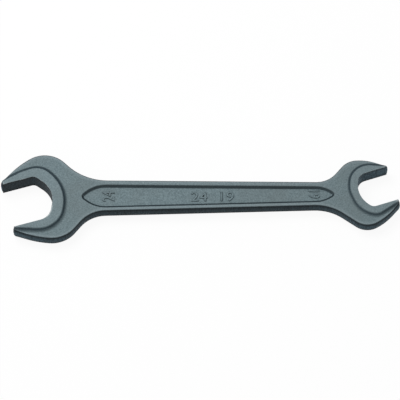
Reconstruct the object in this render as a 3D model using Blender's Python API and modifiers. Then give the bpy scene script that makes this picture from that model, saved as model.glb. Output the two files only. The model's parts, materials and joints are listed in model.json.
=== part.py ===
"""A double open end wrench, drop forged in one piece, with a 24 mm and a 19 mm jaw.

The wrench lies flat. X runs along the handle towards the small head, Y across it and Z
up through its thickness. The origin is on the surface that it lies on, under its middle.
"""

import math

import bmesh
import bpy
from mathutils import Matrix, Vector

MM = 0.001

# A head has a frame of its own. Its origin is where the centre line of the jaw crosses
# that of the handle, "along" points from the tips to the throat, and "across" points to
# the left of that. A corner is (along, across, fillet radius), in shares of the opening.
# Corners run anticlockwise. "jaw_reach" is how far the tips stand out from that origin, and
# "panel_gap" how far the point of the sunk panel lies from it. The panel's end is given in
# shares of its half width: its length, its shoulders' radius and its point's radius.
LARGE_HEAD = {
    "name": "large",
    "opening": 24.2 * MM,
    "thickness": 10.0 * MM,
    "from_middle": 75.0 * MM,
    "jaw_angle": math.radians(15.75),
    "jaw_reach": 22.75 * MM,
    "tip_radius": 1.6 * MM,
    "tip_shares": (0.596, -0.565),
    "left_flank_shares": ((0.265, 1.087, 0.610), (-0.436, 0.892, 1.865)),
    "right_flank_shares": ((-0.529, -0.853, 2.050), (0.014, -1.059, 0.620)),
    "neck_shares": ((0.702, 1.187), (0.826, 0.662)),
    "boss_end_shares": (0.576, -0.500),
    "boss_shares": (
        (-0.021, -0.876, 0.562),
        (0.417, 0.087, 0.900),
        (0.000, 0.754, 0.430),
        (-0.471, 0.727, 1.260),
    ),
    "throat_shares": ((-0.168, -0.500, 0.300), (0.117, 0.086, 0.525), (-0.216, 0.500, 0.130)),
    "panel_gap": 14.7 * MM,
    "panel_shares": (1.20, 2.45, 0.30),
}
SMALL_HEAD = {
    "name": "small",
    "opening": 19.1 * MM,
    "thickness": 9.5 * MM,
    "from_middle": 81.8 * MM,
    "jaw_angle": math.radians(17.8),
    "jaw_reach": 16.7 * MM,
    "tip_radius": 1.5 * MM,
    "tip_shares": (0.597, -0.556),
    "left_flank_shares": ((0.232, 1.023, 0.526), (-0.361, 0.899, 1.529)),
    "right_flank_shares": ((-0.412, -0.917, 1.347), (0.071, -1.041, 0.529)),
    "neck_shares": ((0.869, 1.228), (0.904, 0.648)),
    "boss_end_shares": (0.524, -0.469),
    "boss_shares": (
        (0.010, -0.942, 0.560),
        (0.340, -0.209, 0.775),
        (0.283, 0.516, 0.775),
        (-0.183, 0.796, 0.340),
    ),
    "throat_shares": ((-0.085, -0.500, 0.265), (0.210, 0.052, 0.680), (-0.127, 0.500, 0.180)),
    "panel_gap": 13.4 * MM,
    "panel_shares": (1.35, 3.60, 0.34),
}

# The tips' ends lean by this much, so the right-hand tip of each jaw is the longer one.
TIP_LEAN = math.radians(1.65)

# The handle. Its widths are those at the two heads' origins, at the parting line.
HANDLE_THICKNESS = 6.5 * MM
HANDLE_WIDTH_AT_LARGE = 18.6 * MM
HANDLE_WIDTH_AT_SMALL = 12.9 * MM
DRAFT_ANGLE = math.radians(5.0)
EDGE_RADIUS = 0.6 * MM

# The raised crescent round each jaw. Its side leans in and has a wide fillet at its foot,
# whose radius is a share of the crescent's rise. The foot starts a little way under the
# handle's face. At the tips the crescent stands back from the forging's own edge.
BOSS_SIDE_ANGLE = math.radians(33.0)
BOSS_EDGE_RADIUS = 0.5 * MM
BOSS_FOOT_SHARE = 1.25
BOSS_FOOT_SINK = 0.05 * MM
BOSS_ROOT = 0.5 * MM
BOSS_SETBACK = 0.25 * MM

# The sunk panel in each face of the handle, with a rail on each side of it. Its middle line
# is offset from the handle's in Y. The rim's steps are (width, depth), outermost first.
RAIL_WIDTH = 2.7 * MM
PANEL_OFFSET = -0.3 * MM
PANEL_DEPTH = 1.3 * MM
PANEL_RIM_STEPS = ((0.30 * MM, 0.07 * MM), (0.25 * MM, 0.22 * MM))
PANEL_WALL_LEAN = 0.90 * MM
PANEL_FOOT_RADIUS = 0.20 * MM

# The chamfer at each side of a jaw's mouth, and the smaller one along the jaw's edges.
MOUTH_CHAMFER = 0.5 * MM
JAW_EDGE_BREAK = 0.12 * MM

OVERRUN = 4.0 * MM
ARC_TOLERANCE = 0.02 * MM
SHORTEST_SIDE = 0.15 * MM
MERGE_DISTANCE = 0.001 * MM
EDGE_STEPS = 3
FINE_EDGE_STEPS = 2
FOOT_STEPS = 4
SMOOTH_ANGLE = math.radians(35.0)

FORGED_GREY = (0.150, 0.183, 0.190, 1.0)
FORGED_ROUGHNESS = 0.5
FORGED_METALLIC = 0.6


def clear_scene():
    for thing in list(bpy.data.objects):
        bpy.data.objects.remove(thing, do_unlink=True)


def new_collection(name):
    collection = bpy.data.collections.new(name)
    bpy.context.scene.collection.children.link(collection)
    return collection


def forged_steel():
    material = bpy.data.materials.new("forged_steel")
    material.use_nodes = True
    shader = material.node_tree.nodes["Principled BSDF"]
    shader.inputs["Base Color"].default_value = FORGED_GREY
    shader.inputs["Roughness"].default_value = FORGED_ROUGHNESS
    shader.inputs["Metallic"].default_value = FORGED_METALLIC
    return material


def in_wrench(head, along, across):
    """A place in a head's frame, given in the wrench's. The small head faces the other way."""
    cosine, sine = math.cos(head["jaw_angle"]), math.sin(head["jaw_angle"])
    x = along * cosine - across * sine - head["from_middle"]
    y = along * sine + across * cosine
    return Vector((-x, -y)) if head is SMALL_HEAD else Vector((x, y))


def head_corners(head, shares):
    size = head["opening"]
    return [(in_wrench(head, a * size, b * size), r * size) for a, b, r in shares]


def handle_half_width(x):
    span = LARGE_HEAD["from_middle"] + SMALL_HEAD["from_middle"]
    part = (x + LARGE_HEAD["from_middle"]) / span
    return (HANDLE_WIDTH_AT_LARGE * (1 - part) + HANDLE_WIDTH_AT_SMALL * part) / 2


def neck_corner(head, side):
    """Where a head's left (0) or right (1) flank meets the handle's edge, and its fillet."""
    place_share, radius_share = head["neck_shares"][side]
    x = place_share * head["opening"] - head["from_middle"]
    if head is SMALL_HEAD:
        x = -x
    on_top = (side == 0) == (head is LARGE_HEAD)
    half = handle_half_width(x)
    return Vector((x, half if on_top else -half)), radius_share * head["opening"]


def tip_end(head, across):
    """How far along the tips' end line lies, at this distance across the jaw."""
    return across * math.tan(TIP_LEAN) - head["jaw_reach"]


def tip_corners(head):
    radius = head["tip_radius"]
    places = [share * head["opening"] for share in head["tip_shares"]]
    return [(in_wrench(head, tip_end(head, across), across), radius) for across in places]


def blank_corners():
    """The forging's outline at its parting line, before the jaws are cut."""
    corners = []
    for head in (LARGE_HEAD, SMALL_HEAD):
        corners.append(neck_corner(head, 0))
        corners += head_corners(head, head["left_flank_shares"])
        corners += tip_corners(head)
        corners += head_corners(head, head["right_flank_shares"])
        corners.append(neck_corner(head, 1))
    return corners


def boss_corners(head):
    """The crescent's outline at the handle's face. Its ends run on past the tips."""
    end = -head["jaw_reach"] - OVERRUN
    places = [share * head["opening"] for share in head["boss_end_shares"]]
    ends = [(in_wrench(head, end, across), 0.0) for across in places]
    return ends + head_corners(head, head["boss_shares"])


def jaw_corners(head):
    """The gap between the jaw's walls, with a chamfer at its mouth."""
    wall = head["opening"] / 2
    outside = wall + MOUTH_CHAMFER + OVERRUN
    right, left = tip_end(head, -wall), tip_end(head, wall)
    start = [(right - OVERRUN, -outside), (right + MOUTH_CHAMFER, -wall)]
    finish = [(left + MOUTH_CHAMFER, wall), (left - OVERRUN, outside)]
    corners = [(in_wrench(head, *place), 0.0) for place in start]
    corners += head_corners(head, head["throat_shares"])
    return corners + [(in_wrench(head, *place), 0.0) for place in finish]


def panel_corners():
    """The sunk panel's outline at the handle's face."""
    corners = []
    for head, way in ((LARGE_HEAD, 1), (SMALL_HEAD, -1)):
        point = way * (head["panel_gap"] - head["from_middle"])
        half = handle_half_width(point) - RAIL_WIDTH
        length, shoulder_radius, point_radius = [share * half for share in head["panel_shares"]]
        # The point stays blunt enough for the wall and its foot to follow it round.
        point_radius = max(point_radius, PANEL_WALL_LEAN + PANEL_FOOT_RADIUS + SHORTEST_SIDE)
        shoulder = point + way * length
        side = handle_half_width(shoulder) - RAIL_WIDTH
        corners.append((Vector((shoulder, PANEL_OFFSET + way * side)), shoulder_radius))
        corners.append((Vector((point, PANEL_OFFSET)), point_radius))
        corners.append((Vector((shoulder, PANEL_OFFSET - way * side)), shoulder_radius))
    return corners


def turn_between(into, away):
    """The turn from one direction to the next, positive to the left."""
    return math.atan2(into.x * away.y - into.y * away.x, into.dot(away))


def corner_turns(corners):
    """For each corner, the directions into it and away from it, and the turn there."""
    places = [place for place, _ in corners]
    found = []
    for index, place in enumerate(places):
        into = (place - places[index - 1]).normalized()
        away = (places[(index + 1) % len(places)] - place).normalized()
        found.append((into, away, turn_between(into, away)))
    return found


def grown(corners, by):
    """The outline with every side moved outwards, and its fillets kept concentric."""
    result = []
    for (place, radius), (into, away, turn) in zip(corners, corner_turns(corners)):
        outward = Vector((into.y + away.y, -into.x - away.x))
        moved = place + outward * (2 * by / outward.length_squared)
        new_radius = radius + math.copysign(by, turn)
        result.append((moved, max(new_radius, 0.0) if radius else 0.0))
    return result


def limited_radii(corners, turns):
    """Each fillet's radius, less where two would overlap. There the larger one gives way."""
    slopes = [math.tan(abs(turn) / 2) for _, _, turn in turns]
    wanted = [radius * slope for (_, radius), slope in zip(corners, slopes)]
    kept = list(wanted)
    for index, (place, _) in enumerate(corners):
        length = (place - corners[index - 1][0]).length
        for one, other in ((index, index - 1), (index - 1, index)):
            room = max(length / 2, length - wanted[other])
            kept[one] = min(kept[one], room)
    return [length / slope if slope else 0.0 for length, slope in zip(kept, slopes)]


def arc(start, into, turn, radius):
    """The points of an arc that leaves start in the direction into."""
    side = math.copysign(1, turn)
    centre = start + Vector((-into.y, into.x)) * radius * side
    spoke = start - centre
    step = 2 * math.acos(1 - min(1, ARC_TOLERANCE / radius))
    count = max(2, math.ceil(abs(turn) / step))
    angles = [turn * index / count for index in range(count + 1)]
    return [centre + Matrix.Rotation(angle, 2) @ spoke for angle in angles]


def without_short_sides(points):
    """Drops each point that nearly meets the one kept before it, as where two arcs touch."""
    kept = [points[-1]]
    for point in points[:-1]:
        if (point - kept[-1]).length > SHORTEST_SIDE:
            kept.append(point)
    if len(kept) > 1 and (kept[-1] - kept[0]).length <= SHORTEST_SIDE:
        kept.pop()
    return kept


def rounded(corners):
    """A closed outline's points, with an arc in place of each corner that has a radius."""
    turns = corner_turns(corners)
    points = []
    radii = limited_radii(corners, turns)
    for (place, _), (into, _, turn), radius in zip(corners, turns, radii):
        reach = radius * math.tan(abs(turn) / 2)
        if reach <= SHORTEST_SIDE:
            points.append(place)
        else:
            points += arc(place - into * reach, into, turn, radius)
    return without_short_sides(points)


def top_face(mesh):
    return max(mesh.faces, key=lambda face: face.calc_center_median().z)


def outline_face(corners, z):
    """A new mesh that holds one flat face of this outline, facing up."""
    mesh = bmesh.new()
    mesh.faces.new([mesh.verts.new((point.x, point.y, z)) for point in rounded(corners)])
    mesh.normal_update()
    return mesh


def raise_face(mesh, inset, height):
    """Moves the top face up, or down where height is negative, and draws it in by inset."""
    bmesh.ops.inset_individual(
        mesh, faces=[top_face(mesh)], thickness=inset, depth=height, use_even_offset=True
    )


def round_rim(mesh, face, radius, steps):
    bmesh.ops.bevel(
        mesh,
        geom=list(face.edges),
        offset=radius,
        offset_type="OFFSET",
        segments=steps,
        profile=0.5,
        affect="EDGES",
    )


def add_object(name, mesh, collection, stand):
    data = bpy.data.meshes.new(name)
    mesh.to_mesh(data)
    mesh.free()
    data.shade_smooth()
    data.set_sharp_from_angle(angle=SMOOTH_ANGLE)
    thing = bpy.data.objects.new(name, data)
    thing.parent = stand
    collection.objects.link(thing)
    return thing


def hide_helper(thing):
    thing.hide_render = True
    thing.display_type = "WIRE"
    return thing


def add_other_half(thing):
    """Mirrors a shape in the parting plane, where it is open or clear of it."""
    mirror = thing.modifiers.new("other_half", "MIRROR")
    mirror.use_axis = (False, False, True)
    mirror.merge_threshold = MERGE_DISTANCE


def add_boolean(thing, operation, other):
    boolean = thing.modifiers.new(other.name, "BOOLEAN")
    boolean.operation = operation
    boolean.object = other
    boolean.solver = "EXACT"


def forged_half(corners, half_thickness):
    """The part of a forging over its parting plane: drafted sides and a rounded rim."""
    mesh = outline_face(corners, 0.0)
    raise_face(mesh, half_thickness * math.tan(DRAFT_ANGLE), half_thickness)
    round_rim(mesh, top_face(mesh), EDGE_RADIUS, EDGE_STEPS)
    return mesh


def boss_side(rise):
    """The crescent's side, from under the handle's face up: (outwards, up) from its foot."""
    turn = math.pi / 2 - BOSS_SIDE_ANGLE
    radius = BOSS_FOOT_SHARE * rise
    reach = radius * math.tan(turn / 2)
    fillet = []
    for index in range(FOOT_STEPS + 1):
        angle = turn * index / FOOT_STEPS
        fillet.append((reach - radius * math.sin(angle), radius * (1 - math.cos(angle))))
    (first_out, _), (next_out, next_up) = fillet[:2]
    sunk = first_out + BOSS_FOOT_SINK * (first_out - next_out) / next_up
    top = (-rise * math.tan(BOSS_SIDE_ANGLE), rise)
    return [(sunk, -BOSS_ROOT), (sunk, -BOSS_FOOT_SINK)] + fillet[1:] + [top]


def make_boss(head, cutters, stand):
    """The crescent round one jaw, on both faces, trimmed to the forging's edge at the tips."""
    face = HANDLE_THICKNESS / 2
    side = boss_side(head["thickness"] / 2 - face)
    mesh = outline_face(grown(boss_corners(head), side[0][0]), 0.0)
    raise_face(mesh, 0.0, face + side[0][1])
    for (out, up), (next_out, next_up) in zip(side, side[1:]):
        raise_face(mesh, out - next_out, next_up - up)
    round_rim(mesh, top_face(mesh), BOSS_EDGE_RADIUS, FINE_EDGE_STEPS)
    boss = hide_helper(add_object(head["name"] + "_boss", mesh, cutters, stand))
    add_other_half(boss)
    inner = grown(blank_corners(), -BOSS_SETBACK)
    trim_mesh = forged_half(inner, (head["thickness"] + BOSS_SETBACK) / 2)
    trim = hide_helper(add_object(head["name"] + "_boss_trim", trim_mesh, cutters, stand))
    add_other_half(trim)
    add_boolean(boss, "INTERSECT", trim)
    return boss


def close_under(mesh):
    """Fills the open underside of a cutter that was raised from its outline."""
    bmesh.ops.holes_fill(mesh, edges=[edge for edge in mesh.edges if edge.is_boundary])


def make_jaw_gap(head, cutters, stand):
    """The cutter for one jaw. It flares out past both faces, which breaks the jaw's edges."""
    face = head["thickness"] / 2
    flare = 2 * JAW_EDGE_BREAK
    mesh = outline_face(grown(jaw_corners(head), flare), -face - JAW_EDGE_BREAK)
    raise_face(mesh, flare, flare)
    raise_face(mesh, 0.0, face - JAW_EDGE_BREAK)
    close_under(mesh)
    mesh.faces.remove(top_face(mesh))
    gap = hide_helper(add_object(head["name"] + "_jaw_gap", mesh, cutters, stand))
    add_other_half(gap)
    return gap


def make_panel_sinks(cutters, stand):
    """The cutter for both panels. Each flares out past the face, which eases the rails."""
    face = HANDLE_THICKNESS / 2
    rim_width = sum(width for width, _ in PANEL_RIM_STEPS)
    rim_depth = sum(depth for _, depth in PANEL_RIM_STEPS)
    first_width, first_depth = PANEL_RIM_STEPS[0]
    outline = grown(panel_corners(), rim_width + first_width)
    mesh = outline_face(outline, -face - first_depth)
    raise_face(mesh, 2 * first_width, 2 * first_depth)
    for width, depth in PANEL_RIM_STEPS[1:]:
        raise_face(mesh, width, depth)
    raise_face(mesh, PANEL_WALL_LEAN, PANEL_DEPTH - rim_depth)
    round_rim(mesh, top_face(mesh), PANEL_FOOT_RADIUS, FINE_EDGE_STEPS)
    close_under(mesh)
    sinks = hide_helper(add_object("panel_sinks", mesh, cutters, stand))
    add_other_half(sinks)
    return sinks


def make_forging(parts, cutters, stand):
    """The whole wrench: one blank, a boss at each head, two panels and two jaws."""
    mesh = forged_half(blank_corners(), HANDLE_THICKNESS / 2)
    forging = add_object("wrench_forging", mesh, parts, stand)
    add_other_half(forging)
    heads = (LARGE_HEAD, SMALL_HEAD)
    for head in heads:
        add_boolean(forging, "UNION", make_boss(head, cutters, stand))
    add_boolean(forging, "DIFFERENCE", make_panel_sinks(cutters, stand))
    for head in heads:
        add_boolean(forging, "DIFFERENCE", make_jaw_gap(head, cutters, stand))
    forging.data.materials.append(forged_steel())
    return forging


def lay_down(forging, stand):
    """Moves the stand so that the wrench lies on the origin's level, centred over it."""
    graph = bpy.context.evaluated_depsgraph_get()
    box = [Vector(corner) for corner in forging.evaluated_get(graph).bound_box]
    low = Vector([min(corner[axis] for corner in box) for axis in range(3)])
    high = Vector([max(corner[axis] for corner in box) for axis in range(3)])
    middle = (low + high) / 2
    stand.location = (-middle.x, -middle.y, -low.z)


def main():
    clear_scene()
    parts = new_collection("open_end_wrench")
    cutters = new_collection("cutters")
    stand = bpy.data.objects.new("wrench_stand", None)
    parts.objects.link(stand)
    forging = make_forging(parts, cutters, stand)
    lay_down(forging, stand)


main()
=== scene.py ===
import json
import math

import bpy
from mathutils import Matrix, Vector

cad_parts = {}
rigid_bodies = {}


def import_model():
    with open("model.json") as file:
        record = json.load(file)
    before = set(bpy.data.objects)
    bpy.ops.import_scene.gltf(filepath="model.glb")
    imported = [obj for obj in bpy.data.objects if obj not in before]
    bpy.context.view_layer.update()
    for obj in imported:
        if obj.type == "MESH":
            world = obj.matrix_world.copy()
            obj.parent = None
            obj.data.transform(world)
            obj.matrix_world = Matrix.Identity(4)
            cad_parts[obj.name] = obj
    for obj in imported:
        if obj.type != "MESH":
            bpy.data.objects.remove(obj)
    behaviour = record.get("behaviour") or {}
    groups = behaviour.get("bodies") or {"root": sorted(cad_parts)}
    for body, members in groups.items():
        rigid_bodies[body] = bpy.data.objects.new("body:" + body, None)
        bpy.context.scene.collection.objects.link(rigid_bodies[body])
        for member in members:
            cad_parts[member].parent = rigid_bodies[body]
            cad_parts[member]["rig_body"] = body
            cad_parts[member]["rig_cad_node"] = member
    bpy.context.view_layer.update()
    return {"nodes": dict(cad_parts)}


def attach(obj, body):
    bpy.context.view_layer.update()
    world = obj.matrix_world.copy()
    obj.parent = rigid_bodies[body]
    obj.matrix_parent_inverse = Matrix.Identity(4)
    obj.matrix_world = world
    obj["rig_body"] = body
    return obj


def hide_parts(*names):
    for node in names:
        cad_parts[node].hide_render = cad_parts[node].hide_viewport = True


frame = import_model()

# Double open end wrench, one drop forging with a matt phosphate coat.
# The large head points to -X, the small one to +X, and the wrench lies flat with its faces up and down.

mm = 0.001
scene = bpy.context.scene
scene.view_settings.view_transform = "Standard"


def linearColour(hexText):
    # "#rrggbb" as written in a paint program, to the linear values that a shader wants
    out = []
    for at in (1, 3, 5):
        value = int(hexText[at:at + 2], 16) / 255
        out.append(value / 12.92 if value <= 0.04045 else ((value + 0.055) / 1.055) ** 2.4)
    return (*out, 1.0)


def addNode(tree, kind, links=None, **settings):
    # links: input socket name or number -> an output socket, or a fixed value for that input
    node = tree.nodes.new(kind)
    for name, value in settings.items():
        setattr(node, name, value)
    for name, value in (links or {}).items():
        if isinstance(value, bpy.types.NodeSocket):
            tree.links.new(value, node.inputs[name])
        else:
            node.inputs[name].default_value = value
    return node


def startMaterial(name):
    material = bpy.data.materials.new(name)
    material.use_nodes = True
    material.node_tree.nodes.clear()
    return material, material.node_tree


def deselectAll():
    bpy.ops.object.select_all(action="DESELECT")


def makeActive(thing):
    deselectAll()
    thing.select_set(True)
    bpy.context.view_layer.objects.active = thing


# It is seen from the front, 26 degrees off straight above.
camera = {
    "tilt": 26.0,          # degrees from straight above, towards the front
    "swing": 0.0,          # degrees round the upright axis
    "roll": 0.497,         # degrees, the small head a little higher in the picture
    "aim": (-0.13, -0.822, 4.344),   # mm, the point at the middle of the picture
    "frameWidth": 201.45,  # mm across the picture at that point
    "lens": 500.0,         # mm, long, so that both heads show at one size
    "sensor": 36.0,        # mm
    "clipEnd": 20.0,       # metres
}


def placeCamera(c):
    turn = (Matrix.Rotation(math.radians(c["swing"]), 3, "Z")
            @ Matrix.Rotation(math.radians(c["tilt"]), 3, "X")
            @ Matrix.Rotation(math.radians(-c["roll"]), 3, "Z"))
    distance = c["frameWidth"] * c["lens"] / c["sensor"] * mm
    place = Vector(c["aim"]) * mm + turn @ Vector((0, 0, distance))
    bpy.ops.object.camera_add(location=place, rotation=turn.to_euler())
    made = bpy.context.object
    made.name = "camera"
    made.data.lens = c["lens"]
    made.data.sensor_width = c["sensor"]
    made.data.clip_end = c["clipEnd"]
    scene.camera = made


deselectAll()
placeCamera(camera)
print("camera placed")


# One big soft lamp, high behind the wrench and to its left, so that the front sides stay dark.
light = {
    "keyPower": 6.9,       # watts
    "keySize": 0.55,       # metres along each side
    "keyPlace": (-0.35, 0.33, 0.90),   # metres
    "skyLight": 0.30,      # what the room gives from all round
    "floorSize": 6.0,      # metres
    "floorGlow": 0.93,     # share of the white floor that is there in shadow too
    "floorWhite": 0.078,   # share that the lamp gives, which holds the shadow
    "floorBounce": 0.50,   # how pale the floor is to the light that it throws back
}


def seenStraight(tree):
    # 1 for the camera, and for what shiny or clear things show of the room, otherwise 0
    path = addNode(tree, "ShaderNodeLightPath")
    seen = addNode(tree, "ShaderNodeMath", {
        0: path.outputs["Is Camera Ray"], 1: path.outputs["Is Glossy Ray"]}, operation="MAXIMUM")
    seen = addNode(tree, "ShaderNodeMath", {
        0: seen.outputs[0], 1: path.outputs["Is Transmission Ray"]}, operation="MAXIMUM")
    return seen.outputs[0]


def lightScene(v):
    place = Vector(v["keyPlace"])
    bpy.ops.object.light_add(type="AREA", location=place, rotation=place.to_track_quat("Z", "Y").to_euler())
    lamp = bpy.context.object
    lamp.name = "soft_lamp"
    lamp.data.size = v["keySize"]
    lamp.data.energy = v["keyPower"]

    world = bpy.data.worlds.new("studio")
    scene.world = world
    world.use_nodes = True
    tree = world.node_tree
    tree.nodes.clear()
    strength = addNode(tree, "ShaderNodeMapRange", {
        "Value": seenStraight(tree), "To Min": v["skyLight"], "To Max": 1.0})
    sky = addNode(tree, "ShaderNodeBackground", {"Color": (1, 1, 1, 1), "Strength": strength.outputs[0]})
    addNode(tree, "ShaderNodeOutputWorld", {"Surface": sky.outputs[0]})


def layFloor(v):
    bpy.ops.mesh.primitive_plane_add(size=v["floorSize"], location=(0, 0, 0))
    floor = bpy.context.object
    floor.name = "floor"
    # white paper sweep: it shows white, takes the shadow, and throws little light back at the wrench
    material, tree = startMaterial("white matt paper")
    shown = addNode(tree, "ShaderNodeBsdfDiffuse", {"Color": (v["floorWhite"],) * 3 + (1,)})
    glow = addNode(tree, "ShaderNodeEmission", {"Color": (1, 1, 1, 1), "Strength": v["floorGlow"]})
    both = addNode(tree, "ShaderNodeAddShader", {0: shown.outputs[0], 1: glow.outputs[0]})
    thrown = addNode(tree, "ShaderNodeBsdfDiffuse", {"Color": (v["floorBounce"],) * 3 + (1,)})
    mix = addNode(tree, "ShaderNodeMixShader", {
        "Fac": seenStraight(tree), 1: thrown.outputs[0], 2: both.outputs[0]})
    addNode(tree, "ShaderNodeOutputMaterial", {"Surface": mix.outputs[0]})
    floor.data.materials.append(material)


lightScene(light)
layFloor(light)
print("light and floor ready")


# An entry with From and To holds what one Map Range node is set to. Those on height, distance and
# slope are in real lengths and angles, and the others are in what a noise or Ambient Occlusion gives.
forgedSteel = {
    "face": "#708287",       # dull blue-grey of the coat on the broad faces
    "faceDark": "#526267",   # between the coat's crystals
    "facePale": "#8d9fa4",   # on top of them
    "paintedShade": "#28343a",      # painted shade for sides, walls and feet, also used in hollows and at low angles
    "paleWearAndHighlight": "#94a2a7",     # rails, rims and tips, paler partly where the coat has worn thin and partly as a painted highlight
    "bareAndHighlight": "#b9c3c6",       # the jaws' narrow edges, painted as a highlight, and the tips' corners, worn bare and partly a painted highlight
    "oiled": "#6e7879",      # faint warm patches of old oil

    # noises: size in mm, detail, roughness
    "grain": (0.6, 2.0, 0.6),     # crystals and blast pits, drawn coarse enough to show
    "blotch": (24.0, 5.0, 0.6),   # patches from the phosphate bath
    "peel": (1.8, 2.0, 0.5),      # waves of the forged skin
    "streak": (0.5, 2.0, 0.6),    # marks of the broach and the trimming press
    "streakStretch": 0.12,        # how much slower these change along the thickness

    # where the surface lies
    "middle": 5.0,           # mm, height of the parting plane
    "level": {"From Min": math.radians(60), "From Max": math.radians(4)},   # slope, from side to broad face
    "stands": {"From Min": 2.4 * mm, "From Max": 3.4 * mm},   # height out, from none of the pale wear and painted highlight to all of it

    # coat on the broad faces
    "speck": {"From Min": 0.30, "From Max": 0.70},
    "calm": 0.35,            # how far the specks are evened out
    "patch": {"From Min": 0.42, "From Max": 0.68, "To Max": 0.4},

    # wear and painted highlights
    "wearReach": 2.4,        # mm in from an edge
    "edgeWearAndHighlight": {"From Min": 0.96, "From Max": 0.70, "To Max": 0.55},
    "broad": {"From Min": 3.4 * mm, "From Max": 4.4 * mm, "To Min": 1.0, "To Max": 0.2},   # less on the crescents
    "flats": {"From Min": 4.0 * mm, "From Max": 4.6 * mm, "To Max": 0.13},   # crescents' flats, all over
    "tipReach": 3.0,         # mm, prongs thinner than this are rubbed all over
    "tipBreak": 0.5,         # how much the skin's waves break that up
    "tips": {"From Min": 0.78, "From Max": 0.55, "To Max": 0.6},
    "corner": {"From Min": 0.64, "From Max": 0.50, "To Max": 0.8},
    "edgeReach": 1.0,        # mm, painted highlight strip beside the jaws' sharp edges
    "strip": {"From Min": 0.92, "From Max": 0.70},
    "highlightAt": (-75.6, -9.0, 10.0),   # mm, middle of the painted highlight on the large jaw's edge
    "stretch": {"From Min": 4.5 * mm, "From Max": 2.7 * mm},   # distance along the edge from there

    # painted shade at the feet of walls and round the digits
    "hollowReach": 3.0,      # mm out from a foot
    "hollow": {"From Min": 0.85, "From Max": 0.40, "To Max": 0.3},
    "creaseReach": 0.5,      # mm, close round the digits
    "crease": {"From Min": 0.92, "From Max": 0.62, "To Max": 0.7},

    # painted shade at low angles
    "low": {"From Min": 0.15, "From Max": 0.42, "To Max": 0.95},
    "sloped": {"From Min": math.radians(4), "From Max": math.radians(18), "To Min": 0.25},   # broad faces least

    # sides of the forging, painted light and shade
    "mark": {"From Min": 0.3, "From Max": 0.7, "To Min": 0.45, "To Max": 1.6},
    "head": {"From Min": 45 * mm, "From Max": 85 * mm, "To Min": 1.4, "To Max": 3.5},   # paler to the ends
    "trimmed": {"From Min": 3.1 * mm, "From Max": 0.9 * mm, "To Min": 0.40},   # painted shade under the rim, painted bounce light along the middle
    "risen": {"From Min": 3.2 * mm, "From Max": 3.7 * mm, "To Min": 1.0, "To Max": 4.0},   # crescents' sides, where the painted shade is lighter

    # jaws
    "bright": {"From Min": math.radians(70), "From Max": math.radians(50)},   # slope of the broken edges, which are painted as a highlight
    "broken": {"From Min": 0.40, "From Max": 0.60, "To Min": 0.2},
    "palerToSmallJaw": {"From Min": -60 * mm, "From Max": 60 * mm, "To Min": 1.0, "To Max": 3.4},
    # painted shade on the jaw walls, darkest under the rims
    "sunk": {"From Min": 4.8 * mm, "From Max": 2.0 * mm, "To Min": 0.45, "To Max": 1.25},

    # finish
    "roughness": {"To Min": 0.48, "To Max": 0.72},
    "metallic": 0.05,
    "shine": 0.10,           # the coat reflects little
    "grainBump": 0.35,       # against the skin's waves
    "bumpStrength": 0.6,
    "bumpDepth": 0.03,       # mm
}


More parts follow.
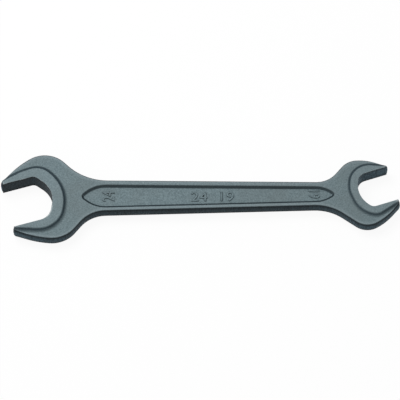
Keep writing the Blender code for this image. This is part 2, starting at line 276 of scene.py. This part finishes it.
def forgedSteelMaterial(v):
    # Medium carbon steel, drop forged, shot blasted and zinc phosphated.
    # The crystals make it matt and finely speckled and the forged skin a little wavy; edges are paler, partly worn
    # and partly painted highlight, and sides, feet and low angles carry painted shade.
    material, tree = startMaterial("phosphated drop-forged steel")
    paint = {name: linearColour(v[name])
             for name in ("face", "faceDark", "facePale", "paintedShade", "paleWearAndHighlight", "bareAndHighlight", "oiled")}
    coords = addNode(tree, "ShaderNodeTexCoord")
    place = coords.outputs["Object"]
    drawn = addNode(tree, "ShaderNodeMapping", {"Vector": place, "Scale": (1, 1, v["streakStretch"])})
    noises = {}
    for name, where in (("grain", place), ("blotch", place), ("peel", place), ("streak", drawn.outputs[0])):
        size, detail, roughness = v[name]
        noise = addNode(tree, "ShaderNodeTexNoise", {
            "Vector": where, "Scale": 1 / (size * mm), "Detail": detail, "Roughness": roughness})
        noises[name] = noise.outputs["Fac"]

    # broad faces against sides, by how far the surface leans; the sides get painted shade
    lean = addNode(tree, "ShaderNodeSeparateXYZ", {0: coords.outputs["Normal"]})
    upright = addNode(tree, "ShaderNodeMath", {0: lean.outputs["Z"]}, operation="ABSOLUTE")
    slope = addNode(tree, "ShaderNodeMath", {0: upright.outputs[0]}, operation="ARCCOSINE")
    level = addNode(tree, "ShaderNodeMapRange", {"Value": slope.outputs[0], **v["level"]})

    # distance out from the parting plane: the panels get no pale wear or painted highlight, the crescents most
    spot = addNode(tree, "ShaderNodeSeparateXYZ", {0: place})
    above = addNode(tree, "ShaderNodeMath", {0: spot.outputs["Z"], 1: v["middle"] * mm}, operation="SUBTRACT")
    out = addNode(tree, "ShaderNodeMath", {0: above.outputs[0]}, operation="ABSOLUTE")
    stands = addNode(tree, "ShaderNodeMapRange", {"Value": out.outputs[0], **v["stands"]})

    # speckled coat with patches of old oil
    speck = addNode(tree, "ShaderNodeMapRange", {"Value": noises["grain"], **v["speck"]})
    coat = addNode(tree, "ShaderNodeMix", {
        "Factor": speck.outputs[0], 6: paint["faceDark"], 7: paint["facePale"]}, data_type="RGBA")
    calm = addNode(tree, "ShaderNodeMix", {
        "Factor": v["calm"], 6: coat.outputs[2], 7: paint["face"]}, data_type="RGBA")
    patch = addNode(tree, "ShaderNodeMapRange", {"Value": noises["blotch"], **v["patch"]})
    face = addNode(tree, "ShaderNodeMix", {
        "Factor": patch.outputs[0], 6: calm.outputs[2], 7: paint["oiled"]}, data_type="RGBA")

    # convex edges: the metal behind them is thin, so light inside it finds the far side; they are painted paler,
    # partly as worn coat and partly as a painted highlight; the crescents' flats stand highest and get a little of
    # it all over
    thin = addNode(tree, "ShaderNodeAmbientOcclusion", {"Distance": v["wearReach"] * mm}, inside=True, samples=12)
    edgeWearAndHighlight = addNode(tree, "ShaderNodeMapRange", {"Value": thin.outputs["AO"], **v["edgeWearAndHighlight"]})
    broad = addNode(tree, "ShaderNodeMapRange", {"Value": out.outputs[0], **v["broad"]})
    strap = addNode(tree, "ShaderNodeMath", {0: edgeWearAndHighlight.outputs[0], 1: broad.outputs[0]}, operation="MULTIPLY")
    prong = addNode(tree, "ShaderNodeAmbientOcclusion", {"Distance": v["tipReach"] * mm}, inside=True, samples=12)
    patchy = addNode(tree, "ShaderNodeMath", {
        0: noises["peel"], 1: v["tipBreak"], 2: prong.outputs["AO"]}, operation="MULTIPLY_ADD")
    tips = addNode(tree, "ShaderNodeMapRange", {"Value": patchy.outputs[0], **v["tips"]})
    flats = addNode(tree, "ShaderNodeMapRange", {"Value": out.outputs[0], **v["flats"]})
    most = addNode(tree, "ShaderNodeMath", {0: strap.outputs[0], 1: tips.outputs[0]}, operation="MAXIMUM")
    wear = addNode(tree, "ShaderNodeMath", {0: most.outputs[0], 1: flats.outputs[0]}, operation="MAXIMUM")
    wearAndHighlight = addNode(tree, "ShaderNodeMath", {0: wear.outputs[0], 1: stands.outputs[0]}, operation="MULTIPLY")
    edged = addNode(tree, "ShaderNodeMix", {
        "Factor": wearAndHighlight.outputs[0], 6: face.outputs[2], 7: paint["paleWearAndHighlight"]}, data_type="RGBA")

    # painted shade at the feet of walls and close round the digits
    clear = addNode(tree, "ShaderNodeAmbientOcclusion", {"Distance": v["hollowReach"] * mm}, samples=12)
    hollow = addNode(tree, "ShaderNodeMapRange", {"Value": clear.outputs["AO"], **v["hollow"]})
    tight = addNode(tree, "ShaderNodeAmbientOcclusion", {"Distance": v["creaseReach"] * mm}, samples=12)
    crease = addNode(tree, "ShaderNodeMapRange", {"Value": tight.outputs["AO"], **v["crease"]})
    paintedNookShade = addNode(tree, "ShaderNodeMath", {0: hollow.outputs[0], 1: crease.outputs[0]}, operation="MAXIMUM")
    footed = addNode(tree, "ShaderNodeMix", {
        "Factor": paintedNookShade.outputs[0], 6: edged.outputs[2], 7: paint["paintedShade"]}, data_type="RGBA")

    # sharp edge of the large jaw, a painted highlight, and corners of the tips, worn bare and partly a painted
    # highlight
    sharp = addNode(tree, "ShaderNodeAmbientOcclusion", {"Distance": v["edgeReach"] * mm}, inside=True, samples=12)
    strip = addNode(tree, "ShaderNodeMapRange", {"Value": sharp.outputs["AO"], **v["strip"]})
    highlightSpot = addNode(tree, "ShaderNodeVectorMath", {0: place, 1: Vector(v["highlightAt"]) * mm}, operation="DISTANCE")
    stretch = addNode(tree, "ShaderNodeMapRange", {"Value": highlightSpot.outputs["Value"], **v["stretch"]})
    proud = addNode(tree, "ShaderNodeMath", {0: strip.outputs[0], 1: stands.outputs[0]}, operation="MULTIPLY")
    keen = addNode(tree, "ShaderNodeMath", {0: proud.outputs[0], 1: stretch.outputs[0]}, operation="MULTIPLY")
    corner = addNode(tree, "ShaderNodeMapRange", {"Value": patchy.outputs[0], **v["corner"]})
    high = addNode(tree, "ShaderNodeMath", {0: corner.outputs[0], 1: stands.outputs[0]}, operation="MULTIPLY")
    nicked = addNode(tree, "ShaderNodeMath", {0: keen.outputs[0], 1: high.outputs[0]}, operation="MAXIMUM")
    edgy = addNode(tree, "ShaderNodeMix", {
        "Factor": nicked.outputs[0], 6: footed.outputs[2], 7: paint["bareAndHighlight"]}, data_type="RGBA")

    # at a low angle the coat gets painted shade, on slopes more than on broad faces
    facing = addNode(tree, "ShaderNodeLayerWeight", {"Blend": 0.5})
    low = addNode(tree, "ShaderNodeMapRange", {"Value": facing.outputs["Facing"], **v["low"]})
    sloped = addNode(tree, "ShaderNodeMapRange", {"Value": slope.outputs[0], **v["sloped"]})
    paintedGrazingShade = addNode(tree, "ShaderNodeMath", {0: low.outputs[0], 1: sloped.outputs[0]}, operation="MULTIPLY")
    top = addNode(tree, "ShaderNodeMix", {
        "Factor": paintedGrazingShade.outputs[0], 6: edgy.outputs[2], 7: paint["paintedShade"]}, data_type="RGBA")

    # sides: streaked, over painted shade; palest along the parting line, partly the trimmed flash line and partly
    # painted bounce light, most so at the heads, and darkest under the rim, a painted shade; the crescents' sides
    # get less of the painted shade
    mark = addNode(tree, "ShaderNodeMapRange", {"Value": noises["streak"], **v["mark"]})
    reach = addNode(tree, "ShaderNodeMath", {0: spot.outputs["X"]}, operation="ABSOLUTE")
    head = addNode(tree, "ShaderNodeMapRange", {"Value": reach.outputs[0], **v["head"]})
    trimmed = addNode(tree, "ShaderNodeMapRange", {
        "Value": out.outputs[0], **v["trimmed"], "To Max": head.outputs[0]})
    risen = addNode(tree, "ShaderNodeMapRange", {"Value": out.outputs[0], **v["risen"]})
    shade = addNode(tree, "ShaderNodeMath", {0: risen.outputs[0], 1: trimmed.outputs[0]}, operation="MULTIPLY")
    tone = addNode(tree, "ShaderNodeMath", {0: mark.outputs[0], 1: shade.outputs[0]}, operation="MULTIPLY")
    side = addNode(tree, "ShaderNodeMix", {
        "Factor": 1.0, 6: paint["paintedShade"], 7: tone.outputs[0]}, data_type="RGBA", blend_type="MULTIPLY")
    flank = addNode(tree, "ShaderNodeMix", {
        "Factor": level.outputs[0], 6: side.outputs[2], 7: top.outputs[2]}, data_type="RGBA")

    # the broached walls carry painted shade, darkest under their rims, up to a narrow edge painted bright as a
    # highlight;
    # the walls are made paler towards the small jaw
    jaw = addNode(tree, "ShaderNodeAttribute", attribute_name="jaw")
    bright = addNode(tree, "ShaderNodeMapRange", {"Value": slope.outputs[0], **v["bright"]})
    broken = addNode(tree, "ShaderNodeMapRange", {"Value": noises["peel"], **v["broken"]})
    lit = addNode(tree, "ShaderNodeMath", {0: bright.outputs[0], 1: broken.outputs[0]}, operation="MULTIPLY")
    sunk = addNode(tree, "ShaderNodeMapRange", {"Value": out.outputs[0], **v["sunk"]})
    palerToSmallJaw = addNode(tree, "ShaderNodeMapRange", {"Value": spot.outputs["X"], **v["palerToSmallJaw"]})
    broach = addNode(tree, "ShaderNodeMath", {0: mark.outputs[0], 1: palerToSmallJaw.outputs[0]}, operation="MULTIPLY")
    depth = addNode(tree, "ShaderNodeMath", {0: broach.outputs[0], 1: sunk.outputs[0]}, operation="MULTIPLY")
    wall = addNode(tree, "ShaderNodeMix", {
        "Factor": 1.0, 6: paint["paintedShade"], 7: depth.outputs[0]}, data_type="RGBA", blend_type="MULTIPLY")
    broached = addNode(tree, "ShaderNodeMix", {
        "Factor": lit.outputs[0], 6: wall.outputs[2], 7: paint["bareAndHighlight"]}, data_type="RGBA")
    colour = addNode(tree, "ShaderNodeMix", {
        "Factor": jaw.outputs["Fac"], 6: flank.outputs[2], 7: broached.outputs[2]}, data_type="RGBA")

    # pitted and wavy on the faces, streaked on the sides
    rough = addNode(tree, "ShaderNodeMapRange", {"Value": noises["grain"], **v["roughness"]})
    height = addNode(tree, "ShaderNodeMath", {
        0: noises["grain"], 1: v["grainBump"], 2: noises["peel"]}, operation="MULTIPLY_ADD")
    tooled = addNode(tree, "ShaderNodeMix", {
        "Factor": level.outputs[0], 2: noises["streak"], 3: height.outputs[0]}, data_type="FLOAT")
    bump = addNode(tree, "ShaderNodeBump", {
        "Strength": v["bumpStrength"], "Distance": v["bumpDepth"] * mm, "Height": tooled.outputs[0]})
    shader = addNode(tree, "ShaderNodeBsdfPrincipled", {
        "Base Color": colour.outputs[2], "Roughness": rough.outputs[0], "Metallic": v["metallic"],
        "Specular IOR Level": v["shine"], "Normal": bump.outputs[0]})
    addNode(tree, "ShaderNodeOutputMaterial", {"Surface": shader.outputs[0]})
    return material


steel = forgedSteelMaterial(forgedSteel)
print("forged steel material ready")


forging = {
    "mergeWithin": 0.002,   # mm, doubles of the loose triangles
    "flatWithin": 0.5,      # degrees, triangles that make one face
    "smoothBelow": 32.0,    # degrees, softer folds than this shade as one surface
    "jaws": (               # where the jaw's centre line crosses the handle's, its turn, opening
        (-75.23, 0.34, 15.75, 24.2),
        (81.57, 0.34, 197.80, 19.1),
    ),
    "edge": 0.35,           # mm, the broken edges reach this far out from a jaw's walls
    "throat": 0.22,         # depth of the throat past that crossing, in shares of the opening
    "reach": 1.2,           # walls run this far from that crossing at most, in shares of the opening
    "steepest": 0.9,        # faces with more of their normal upright than this are broad ones
}


def markJaws(body, v):
    # "jaw" is 1 on the broached walls and their broken edges, 0 elsewhere
    marks = body.data.attributes.new("jaw", "FLOAT", "FACE")
    for x, y, turn, opening in v["jaws"]:
        into = Vector((math.cos(math.radians(turn)), math.sin(math.radians(turn)), 0))
        across = Vector((-into.y, into.x, 0))
        for face in body.data.polygons:
            away = (face.center / mm - Vector((x, y, 0))).to_2d().to_3d()
            near = abs(away @ across) < opening / 2 + v["edge"] and abs(away @ into) < v["reach"] * opening
            inside = face.normal @ away < 0 and away @ into < v["throat"] * opening
            if near and inside and abs(face.normal.z) < v["steepest"]:
                marks.data[face.index].value = 1.0


def makeForging(v):
    deselectAll()
    source = frame["nodes"]["wrench_forging"]
    body = source.copy()
    body.data = source.data.copy()
    body.parent = None
    body.name = "forging_body"
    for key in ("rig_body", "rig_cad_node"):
        if key in body:
            del body[key]
    scene.collection.objects.link(body)
    makeActive(body)
    bpy.ops.object.mode_set(mode="EDIT")
    bpy.ops.mesh.select_all(action="SELECT")
    bpy.ops.mesh.customdata_custom_splitnormals_clear()
    bpy.ops.mesh.remove_doubles(threshold=v["mergeWithin"] * mm)
    bpy.ops.mesh.dissolve_limited(angle_limit=math.radians(v["flatWithin"]))
    bpy.ops.mesh.select_all(action="DESELECT")
    bpy.ops.object.mode_set(mode="OBJECT")
    bpy.ops.object.shade_smooth_by_angle(angle=math.radians(v["smoothBelow"]))
    even = body.modifiers.new("even shading", "WEIGHTED_NORMAL")
    even.keep_sharp = True
    bpy.ops.object.modifier_apply(modifier=even.name)
    markJaws(body, v)
    body.data.materials.clear()
    body.data.materials.append(steel)
    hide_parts("wrench_forging")
    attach(body, "root")
    return body


forgingBody = makeForging(forging)
print("forging ready,", len(forgingBody.data.polygons), "faces")


# Size numbers, raised in the panel of the upper face.
numbers = {
    "floor": 6.95,      # mm, height of the panel floor
    "sunk": 0.10,       # mm of each digit below that floor
    "proud": 0.34,      # mm above it
    "thick": 0.01,      # thickness that the digits are drawn with, before they are fitted
    "bold": 0.004,      # thickening of the strokes, in shares of the text's own size
    "mergeWithin": 0.01,   # mm
    "soft": 0.06,       # mm, rounding of the digits' rims
    "softSteps": 2,
    "softAbove": 50.0,  # degrees, edges sharper than this are rounded
    "smoothBelow": 40.0,   # degrees
    "list": (           # text, digit height, length, middle of the number, turn in degrees
        ("24", 6.3, 5.4, (-46.2, 0.30), 90.0),
        ("19", 5.6, 4.2, (57.4, 0.38), -90.0),
        ("24  19", 5.1, 21.5, (6.2, -0.30), 0.0),
    ),
}


def makeNumber(v, text, height, length, middle, turn):
    deselectAll()
    bpy.ops.object.text_add(location=(0, 0, 0))
    number = bpy.context.object
    number.name = "size_number_" + "_".join(text.split())
    number.data.body = text
    number.data.size = 1.0
    number.data.extrude = v["thick"]
    number.data.offset = v["bold"]
    bpy.ops.object.convert(target="MESH")
    number = bpy.context.object
    low = Vector([min(p.co[i] for p in number.data.vertices) for i in range(3)])
    high = Vector([max(p.co[i] for p in number.data.vertices) for i in range(3)])
    size = high - low
    wide, tall = length * mm / size.x, height * mm / size.y
    deep = (v["sunk"] + v["proud"]) * mm / size.z
    fit = (Matrix.Translation(Vector((middle[0], middle[1], v["floor"] + v["proud"])) * mm)
           @ Matrix.Rotation(math.radians(turn), 4, "Z")
           @ Matrix.Diagonal((wide, tall, deep, 1))
           @ Matrix.Translation(-Vector(((low.x + high.x) / 2, (low.y + high.y) / 2, high.z))))
    number.data.transform(fit)
    makeActive(number)
    bpy.ops.object.mode_set(mode="EDIT")
    bpy.ops.mesh.select_all(action="SELECT")
    bpy.ops.mesh.remove_doubles(threshold=v["mergeWithin"] * mm)
    bpy.ops.mesh.normals_make_consistent(inside=False)
    bpy.ops.mesh.select_all(action="DESELECT")
    bpy.ops.object.mode_set(mode="OBJECT")
    rim = number.modifiers.new("soft rim", "BEVEL")
    rim.width = v["soft"] * mm
    rim.segments = v["softSteps"]
    rim.limit_method = "ANGLE"
    rim.angle_limit = math.radians(v["softAbove"])
    bpy.ops.object.modifier_apply(modifier=rim.name)
    bpy.ops.object.shade_smooth_by_angle(angle=math.radians(v["smoothBelow"]))
    number.data.materials.clear()
    number.data.materials.append(steel)
    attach(number, "root")
    return number


for text, height, length, middle, turn in numbers["list"]:
    made = makeNumber(numbers, text, height, length, middle, turn)
    print("number", text, "ready,", len(made.data.polygons), "faces")
